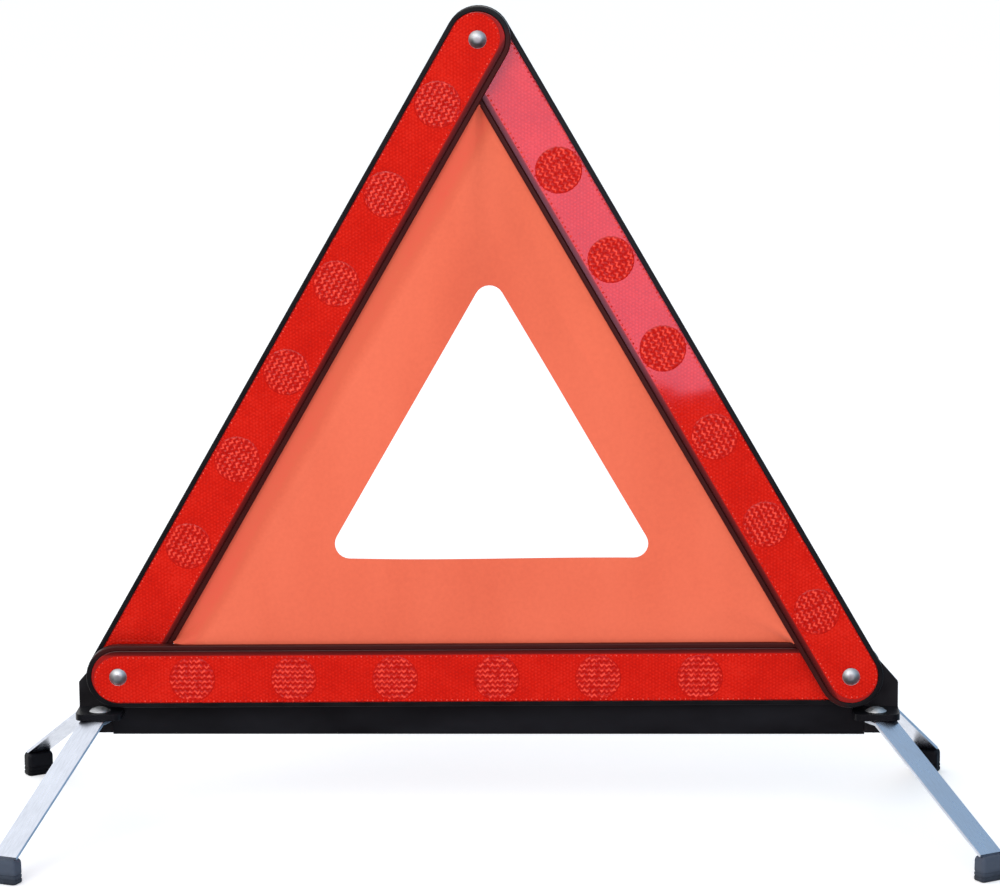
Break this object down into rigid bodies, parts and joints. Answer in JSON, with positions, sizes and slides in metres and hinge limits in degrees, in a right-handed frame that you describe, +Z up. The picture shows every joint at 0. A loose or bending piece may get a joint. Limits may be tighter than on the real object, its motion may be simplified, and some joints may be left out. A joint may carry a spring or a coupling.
{
  "type": "folding warning triangle",
  "caption": "Folding roadside warning triangle: overlapping red reflector bars around a fluorescent sheet, on a low channel base with swing-out metal legs.",
  "frame": {"origin": "on the ground, under the middle of the base channel", "axes": "+X to the right seen from the reflective front, along the base; +Y to the rear; +Z up"},
  "size_m": [0.5506, 0.2394, 0.453],
  "materials": {
    "red_lens": "clear red moulded acrylic over prisms",
    "prism_plate": "moulded micro prisms",
    "black_plastic": "satin black ABS",
    "black_paint": "satin black powder coat",
    "steel_strip": "zinc plated, rolled",
    "bright_rivet": "bright zinc",
    "washer_plastic": "nylon",
    "foot_rubber": "moulded soft plastic",
    "fluorescent_sheet": "coated fluorescent fabric"
  },
  "bodies": {
    "base": {"base_bar_housing": "black_plastic", "base_bar_lens": "red_lens", "base_bar_prism_plate": "prism_plate", "base_channel": "black_paint", "base_corner_washers": "washer_plastic", "bracket_rivets": "bright_rivet", "fluorescent_sheet": "fluorescent_sheet", "left_end_bracket": "black_plastic", "left_leg_plate": "black_paint", "leg_pivot_rivets": "bright_rivet", "lower_left_rivet": "bright_rivet", "lower_right_rivet": "bright_rivet", "right_end_bracket": "black_plastic", "right_leg_plate": "black_paint"},
    "right_bar": {"apex_rivet": "bright_rivet", "apex_washer": "washer_plastic", "right_bar_housing": "black_plastic", "right_bar_lens": "red_lens", "right_bar_prism_plate": "prism_plate"},
    "left_bar": {"left_bar_housing": "black_plastic", "left_bar_lens": "red_lens", "left_bar_prism_plate": "prism_plate"},
    "front_left_leg": {"front_left_foot": "foot_rubber", "front_left_leg": "steel_strip"},
    "front_right_leg": {"front_right_foot": "foot_rubber", "front_right_leg": "steel_strip"},
    "rear_left_leg": {"rear_left_foot": "foot_rubber", "rear_left_leg": "steel_strip"},
    "rear_right_leg": {"rear_right_foot": "foot_rubber", "rear_right_leg": "steel_strip"}
  },
  "joints": [
    {"name": "right_bar_fold", "type": "hinge", "parent": "base", "child": "right_bar", "pos_m": [0.1985, -0.01895, 0.089], "axis": [0.0187, -0.9993, 0.0325], "range_deg": [0, 56], "deforming": ["fluorescent_sheet"]},
    {"name": "left_bar_swing", "type": "hinge", "parent": "right_bar", "child": "left_bar", "pos_m": [-0.0015, -0.01895, 0.43541], "axis": [-0.0375, -0.9993, 0], "range_deg": [-296, 0]},
    {"name": "front_left_leg_swing", "type": "hinge", "parent": "base", "child": "front_left_leg", "pos_m": [-0.2125, -0.018, 0.0643], "axis": [0, 0, 1], "range_deg": [0, 110]},
    {"name": "front_right_leg_swing", "type": "hinge", "parent": "base", "child": "front_right_leg", "pos_m": [0.2125, -0.018, 0.0643], "axis": [0, 0, 1], "range_deg": [-120, 0]},
    {"name": "rear_left_leg_swing", "type": "hinge", "parent": "base", "child": "rear_left_leg", "pos_m": [-0.2125, 0.018, 0.0643], "axis": [0, 0, 1], "range_deg": [-120, 0]},
    {"name": "rear_right_leg_swing", "type": "hinge", "parent": "base", "child": "rear_right_leg", "pos_m": [0.2125, 0.018, 0.0643], "axis": [0, 0, 1], "range_deg": [0, 110]}
  ],
  "couplings": [
    {"joint": "left_bar_swing", "follows": "right_bar_fold", "ratio": -5.2857}
  ]
}
